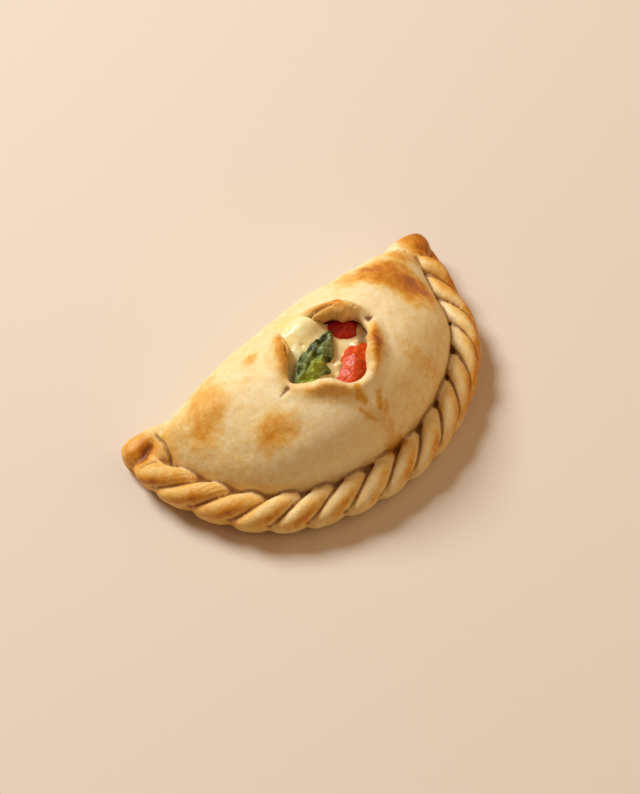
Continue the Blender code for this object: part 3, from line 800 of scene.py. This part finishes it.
def makeTomato(name):
    middle, half, turn, (start, end, ridgeWidth, ridgeHeight) = tomatoes[name]
    bm = bmesh.new()
    bmesh.ops.create_uvsphere(bm, u_segments=110, v_segments=72, radius=1.0)
    piece = objectFrom(name, bm)
    points = readPoints(piece)
    swell = 1.0 + 0.1 * grain(points, 0.77, 51.0)
    c, s = math.cos(math.radians(turn)), math.sin(math.radians(turn))
    x, y, z = (points * half * swell[:, None]).T
    points = np.stack([x * c - y * s, x * s + y * c, z], axis=-1) + middle
    rise = ridgeHeight * nearLine(points, (start, end), ridgeWidth)
    flesh = 0.22 * grain(points * [1.0, 1.0, 0.4], 1.5, 53.0) + 0.1 * grain(points, 0.6, 55.0)
    points[:, 2] += (rise + flesh) * smoothStep((points[:, 2] - middle[2]) / 3.0)
    writePoints(piece, points + hubPlace)
    return piece


basil = {
    "base": (-14.3, -2.0),
    "tip": (7.2, 7.5),
    "stemEnd": ((-11.8, -2.6), (-5.0, -0.6)),  # the line along which it stayed fresh
    "thickness": 0.4,
    "clearance": 2.6,  # how high it lies over the cheese
    "veinSpacing": 2.7,
    "wave": 1.3,
    "crumple": 2.6,  # depth of its sharp folds
    "curl": 1.3,  # how far its edges bend down
    # share of its length, half width to the left and to the right of the midrib
    "halves": (
        (0.0, 0.9, 0.9), (0.06, 2.3, 1.8), (0.16, 3.1, 2.9), (0.3, 4.0, 4.7),
        (0.37, 4.0, 6.3), (0.43, 3.6, 5.9), (0.5, 3.3, 4.8), (0.58, 3.1, 5.0),
        (0.68, 2.6, 4.2), (0.8, 1.7, 2.8), (0.9, 0.8, 1.3), (1.0, 0.1, 0.1),
    ),
}


def makeBasil():
    along, across = 120, 64  # faces
    base, tip = np.array(basil["base"]), np.array(basil["tip"])
    axis = tip - base
    length = np.hypot(*axis)
    sideways = np.array([-axis[1], axis[0]]) / length
    steps = np.linspace(0, 1, along + 1), np.linspace(-1, 1, across + 1)
    share, part = (grid.ravel() for grid in np.meshgrid(*steps, indexing="ij"))
    leftHalf, rightHalf = throughKeys(basil["halves"], share).T
    half = np.where(part > 0.0, leftHalf, rightHalf)
    place = base + axis * share[:, None] + sideways * (part * half)[:, None]
    flat = np.concatenate([place, np.zeros((len(place), 1))], axis=1)
    place = place + sideways * (0.5 * grain(flat, 3.0, 61.0) * (1 - share))[:, None]
    aside = np.abs(part) * half
    phase = (share * length - aside * 0.75) / basil["veinSpacing"]
    sideVein = bell((phase - np.round(phase)) * basil["veinSpacing"], 0.32)
    midrib = bell(aside, 0.4)
    vein = np.maximum(midrib, sideVein * 0.8 * smoothStep(aside / 0.8))
    folds = basil["wave"] * grain(flat, 5.0, 63.0) + 0.3 * grain(flat, 1.2, 67.0)
    folds = folds - basil["crumple"] * np.abs(grain(flat, 3.5, 65.0))
    puff = 0.35 * (1.0 - sideVein) * smoothStep(aside / 1.2) - 0.3 * midrib
    curl = -basil["curl"] * np.abs(part) ** 3.0
    height = meltTop(*place.T) + basil["clearance"] + folds + puff + curl
    height = height + 0.8 * smoothStep((0.3 - share) / 0.3)
    points = np.concatenate([place, height[:, None]], axis=1) + hubPlace
    starts = [i * (across + 1) + j for i in range(along) for j in range(across)]
    faces = [(k, k + 1, k + across + 2, k + across + 1) for k in starts]
    piece = meshObject("basilLeaf", points, faces)
    paint(piece, "vein", vein)
    broken = 1.0 + 0.5 * grain(flat, 1.3, 69.0)
    paint(piece, "stemEnd", nearLine(flat, basil["stemEnd"], 2.1) * broken)
    # painted shade in the low folds and painted highlight on what stands up, by height
    paint(piece, "foldShading", 0.85 + 0.75 * (folds + puff))
    thicken = piece.modifiers.new("thicken", "SOLIDIFY")
    thicken.thickness = basil["thickness"]
    thicken.offset = -1.0
    applyModifiers(piece)
    return piece


crust = makeCrust()
cheese = makeMelt()
leaf = makeBasil()
tomatoFront, tomatoBack = makeTomato("tomatoFront"), makeTomato("tomatoBack")
print("filling made:", len(cheese.data.polygons), "faces of cheese")


def hexColour(code):
    # From sRGB to the linear colours that the sockets take.
    values = [int(code[i : i + 2], 16) / 255.0 for i in (0, 2, 4)]
    return (*[v / 12.92 if v <= 0.04045 else ((v + 0.055) / 1.055) ** 2.4 for v in values], 1.0)


def fillSockets(tree, node, inputs):
    # Gives a number, colour or link to each socket, by name or in the sockets' order.
    for socket, value in inputs.items() if isinstance(inputs, dict) else enumerate(inputs):
        if isinstance(value, bpy.types.NodeSocket):
            tree.links.new(value, node.inputs[socket])
        else:
            node.inputs[socket].default_value = value


def addNode(tree, kind, inputs=(), output=0, stops=(), **settings):
    node = tree.nodes.new("ShaderNode" + kind)
    for name, value in settings.items():
        setattr(node, name, value)
    fillSockets(tree, node, inputs)
    if stops:
        ramp = node.color_ramp.elements
        while len(ramp) < len(stops):
            ramp.new(0.5)
        for stop, (place, code) in zip(ramp, stops):
            stop.position = place
            stop.color = hexColour(code)
    return node.outputs[output]


def layOver(tree, colour, layers):
    # Lays colours over one another, each as strongly as its mask and its own strength say.
    for mask, (code, strength) in layers:
        share = addNode(tree, "Math", (mask, strength), operation="MULTIPLY")
        inputs = {"Factor": share, 6: colour, 7: hexColour(code)}  # 6 and 7 take colours
        colour = addNode(tree, "Mix", inputs, output=2, data_type="RGBA")
    return colour


def startMaterial(name, sockets):
    material = bpy.data.materials.new(name)
    material.use_nodes = True
    tree = material.node_tree
    shader = tree.nodes["Principled BSDF"]
    fillSockets(tree, shader, sockets)
    return material, tree, shader


def perMetre(millimetres):
    return 1000.0 / millimetres


# Wheat dough, folded by hand and oven baked: matt and pale where it stayed soft, satin and
# brown where it blistered, with fine pores all over and fat soaked in at one end of the cut.
bakedDough = {
    "shader": {
        "IOR": 1.46,
        "Specular IOR Level": 0.35,
        "Subsurface Weight": 0.12,
        "Subsurface Radius": (1.0, 0.55, 0.25),
        "Subsurface Scale": 0.0012,  # how far light wanders under the surface, in metres
    },
    # from unbaked to nearly burnt
    "ramp": (
        (0.0, "faeabd"), (0.16, "f5db9c"), (0.34, "edbe66"),
        (0.52, "e0992c"), (0.72, "be6c16"), (1.0, "7e420c"),
    ),
    # colours laid over it where each was painted, and how strongly
    # painted shade inside the cut
    "pitShade": ("b98a55", 0.6),
    "grease": ("dc9e00", 0.95),
    # painted shade in creases, grooves and slits
    "creaseShade": ("7a3c08", 0.8),
    # size of each pattern in millimetres, and its settings
    "mottle": (2.6, {"Detail": 4.0, "Roughness": 0.6}),
    "speckle": (0.8, {"Detail": 3.0, "Roughness": 0.7}),
    "pore": (0.9, {"Detail": 5.0, "Roughness": 0.62}),
    "wrinkle": (2.4, {"Detail": 3.0, "Distortion": 0.8}),
}


def makeBakedDough():
    look = bakedDough
    material, tree, shader = startMaterial("bakedWheatDough", look["shader"])
    place = addNode(tree, "TexCoord", output="Object")
    bakeAndShading, creaseShade, grease, pitShade = (
        addNode(tree, "Attribute", output="Fac", attribute_name=name)
        for name in ("bakeAndShading", "creaseShade", "grease", "pitShade")
    )
    mottle, speckle, pore, wrinkle = (
        addNode(tree, "TexNoise", {"Vector": place, "Scale": perMetre(size), **more})
        for size, more in map(look.get, ("mottle", "speckle", "pore", "wrinkle"))
    )
    # a range from the first two numbers to the other two
    spread = addNode(tree, "MapRange", (mottle, 0.25, 0.75, -0.1, 0.1))
    fine = addNode(tree, "MapRange", (speckle, 0.25, 0.75, -0.08, 0.08))
    both = addNode(tree, "Math", (spread, fine), operation="ADD")
    bakedAndShaded = addNode(tree, "Math", (bakeAndShading, both), operation="ADD")
    colour = addNode(tree, "ValToRGB", (bakedAndShaded,), stops=look["ramp"])
    layers = (pitShade, look["pitShade"]), (grease, look["grease"]), (creaseShade, look["creaseShade"])
    colour = layOver(tree, colour, layers)
    dry = addNode(tree, "MapRange", (bakedAndShaded, 0.1, 0.8, 0.58, 0.45))
    wet = addNode(tree, "Math", (grease, -0.25, dry), operation="MULTIPLY_ADD")
    low = addNode(tree, "Bump", {"Height": wrinkle, "Strength": 0.35, "Distance": 0.0004})
    pores = {"Height": pore, "Strength": 0.4, "Distance": 0.0002, "Normal": low}
    bump = addNode(tree, "Bump", pores)
    fillSockets(tree, shader, {"Base Color": colour, "Roughness": wet, "Normal": bump})
    return material


# Mozzarella, melted and set: milky, soft-lit from inside, wet on top, stained by tomato juice.
meltedCheese = {
    "shader": {
        "Roughness": 0.32,
        "IOR": 1.44,
        "Subsurface Weight": 0.35,
        "Subsurface Radius": (1.0, 0.7, 0.4),
        "Subsurface Scale": 0.0016,
        "Coat Weight": 0.22,
        "Coat Roughness": 0.16,
    },
    "milk": "fff4be",
    "butter": ("f6dc8a", 1.0),  # colour and strength
    "juice": ("f4b68c", 0.2),
    "patch": 4.0,
    "ripple": 1.2,
}


def makeMeltedCheese():
    look = meltedCheese
    material, tree, shader = startMaterial("meltedMozzarella", look["shader"])
    place = addNode(tree, "TexCoord", output="Object")
    juice, edgeTan = (
        addNode(tree, "Attribute", output="Fac", attribute_name=name)
        for name in ("juice", "edgeTan")
    )
    patch, ripple = (
        addNode(tree, "TexNoise", {"Vector": place, "Scale": scale, "Detail": 3.0})
        for scale in (perMetre(look["patch"]), perMetre(look["ripple"]))
    )
    warm = addNode(tree, "MapRange", (patch, 0.35, 0.7, 0.0, 0.8))
    warm = addNode(tree, "Math", (warm, edgeTan), operation="MAXIMUM")
    layers = (warm, look["butter"]), (juice, look["juice"])
    colour = layOver(tree, hexColour(look["milk"]), layers)
    bump = addNode(tree, "Bump", {"Height": ripple, "Strength": 0.35, "Distance": 0.0004})
    fillSockets(tree, shader, {"Base Color": colour, "Normal": bump})
    return material


# Tomato, roasted in its own juice: wet skin and flesh with short pale fibres. The second copy is
# darker red, painted shade for the tomato under the top petal.
wetTomato = {
    "Roughness": 0.4,
    "IOR": 1.38,
    "Subsurface Weight": 0.2,
    "Subsurface Radius": (1.0, 0.25, 0.1),
    "Subsurface Scale": 0.0012,
    "Coat Weight": 0.1,
    "Coat Roughness": 0.2,
}
tomatoColours = {
    # from the hollows to the fibres, then how long and how wide the fibres are in millimetres
    "roastedTomatoFlesh": (((0.3, "c63404"), (0.55, "de5212"), (0.78, "e87434")), 2.6, 0.7),
    # the back tomato's copy, darker red: painted shade, as it lies under the top petal
    "roastedTomatoInShade": (((0.3, "a81405"), (0.55, "c82c12"), (0.78, "dc5230")), 3.0, 0.9),
}


def makeTomatoFlesh(name):
    material, tree, shader = startMaterial(name, wetTomato)
    ramp, length, width = tomatoColours[name]
    size = perMetre(length), perMetre(width), perMetre(length)
    place = addNode(tree, "TexCoord", output="Object")
    turned = {"Rotation": (0.0, 0.0, math.radians(35.0)), "Scale": size}
    stretched = addNode(tree, "Mapping", {"Vector": place, **turned})
    fibre = addNode(tree, "TexNoise", {"Vector": stretched, "Scale": 1.0, "Detail": 4.0})
    colour = addNode(tree, "ValToRGB", (fibre,), stops=ramp)
    bump = addNode(tree, "Bump", {"Height": fibre, "Strength": 0.35, "Distance": 0.0005})
    fillSockets(tree, shader, {"Base Color": colour, "Normal": bump})
    return material


# Basil, wilted by the oven: painted shade in its folds, a painted grey-green highlight on what
# stands up, pale veins.
basilBlade = {
    "shader": {"Roughness": 0.36, "IOR": 1.42},
    "ramp": ((0.25, "1c260c"), (0.55, "4c5a24"), (0.95, "82925e")),  # painted shade in folds, blade, painted highlight on raised parts
    "vein": ("8f9442", 0.28),  # colour and strength
    "stemEnd": ("b6ca4c", 0.85),
    "cell": 0.7,
}


def makeBasilBlade():
    look = basilBlade
    material, tree, shader = startMaterial("wiltedBasilLeaf", look["shader"])
    place = addNode(tree, "TexCoord", output="Object")
    vein, foldShading, stemEnd = (
        addNode(tree, "Attribute", output="Fac", attribute_name=name)
        for name in ("vein", "foldShading", "stemEnd")
    )
    cells = {"Vector": place, "Scale": perMetre(look["cell"]), "Detail": 4.0}
    cell = addNode(tree, "TexNoise", cells)
    uneven = addNode(tree, "MapRange", (cell, 0.3, 0.7, -0.12, 0.12))
    raised = addNode(tree, "Math", (foldShading, uneven), operation="ADD")
    colour = addNode(tree, "ValToRGB", (raised,), stops=look["ramp"])
    layers = (vein, look["vein"]), (stemEnd, look["stemEnd"])
    colour = layOver(tree, colour, layers)
    bump = addNode(tree, "Bump", {"Height": cell, "Strength": 0.4, "Distance": 0.0003})
    fillSockets(tree, shader, {"Base Color": colour, "Normal": bump})
    return material


tomatoFlesh, shadedRoastTomato = (makeTomatoFlesh(name) for name in tomatoColours)
finishPiece(crust, "crust", makeBakedDough())
finishPiece(cheese, "cheese", makeMeltedCheese())
finishPiece(leaf, "basil_leaf", makeBasilBlade())
finishPiece(tomatoFront, "tomato_front", tomatoFlesh)
finishPiece(tomatoBack, "tomato_back", shadedRoastTomato)

# Camera, floor and soft studio light, as the object was seen: from the front left and above.
studio = {
    # matt painted board: no shine at all, only the soft shadow
    "board": {"Base Color": hexColour("e7dccb"), "Roughness": 0.85, "IOR": 1.45},
    "room": {"Color": hexColour("ffcfa9"), "Strength": 0.21},
    "key": "ffffff",
    "keyWatts": 30.6,
    "keySize": 0.77,  # in metres, as the fill's is
    "keyDistance": 1800.0,
    "keyHeight": 46.0,  # degrees over the floor
    "keyTurn": 100.0,  # degrees from X towards Y
    "fill": "ffd6a0",  # a warm card on the other side
    "fillWatts": 3.4,
    "fillSize": 1.3,
    "fillPlace": (640.0, -510.0, 800.0),
    "eye": (-215.18, -245.88, 533.79),
    "looksAt": (-2.36, 5.97, 8.0),
    "lens": 89.11,
}


def lookFrom(name, data, place, target=(0, 0, 0)):
    obj = newObject(name, data)
    obj.location = Vector(place) * 0.001
    obj.rotation_euler = (Vector(target) - Vector(place)).to_track_quat("-Z", "Y").to_euler()
    return obj


floorMesh = bpy.data.meshes.new("floor")
floorMesh.from_pydata([(-3, -3, 0), (3, -3, 0), (3, 3, 0), (-3, 3, 0)], [], [(0, 1, 2, 3)])
floor = newObject("floor", floorMesh)
floor.data.materials.append(startMaterial("mattPaintedBoard", studio["board"])[0])

height, turn = math.radians(studio["keyHeight"]), math.radians(studio["keyTurn"])
out = math.cos(height) * studio["keyDistance"]
keyPlace = (out * math.cos(turn), out * math.sin(turn), math.sin(height) * studio["keyDistance"])
for name, place, colour, watts, size in (
    ("softKey", keyPlace, studio["key"], studio["keyWatts"], studio["keySize"]),
    ("warmFill", studio["fillPlace"], studio["fill"], studio["fillWatts"], studio["fillSize"]),
):
    light = bpy.data.lights.new(name, "AREA")
    light.shape = "DISK"
    light.size = size
    light.energy = watts
    light.color = hexColour(colour)[:3]
    lookFrom(name, light, place)

world = bpy.context.scene.world = bpy.data.worlds.new("room")
world.use_nodes = True
fillSockets(world.node_tree, world.node_tree.nodes["Background"], studio["room"])

camera = lookFrom("camera", bpy.data.cameras.new("camera"), studio["eye"], studio["looksAt"])
camera.data.sensor_width = 36.0
camera.data.lens = studio["lens"]
bpy.context.scene.camera = camera
bpy.context.scene.view_settings.view_transform = "Standard"
print("studio set")
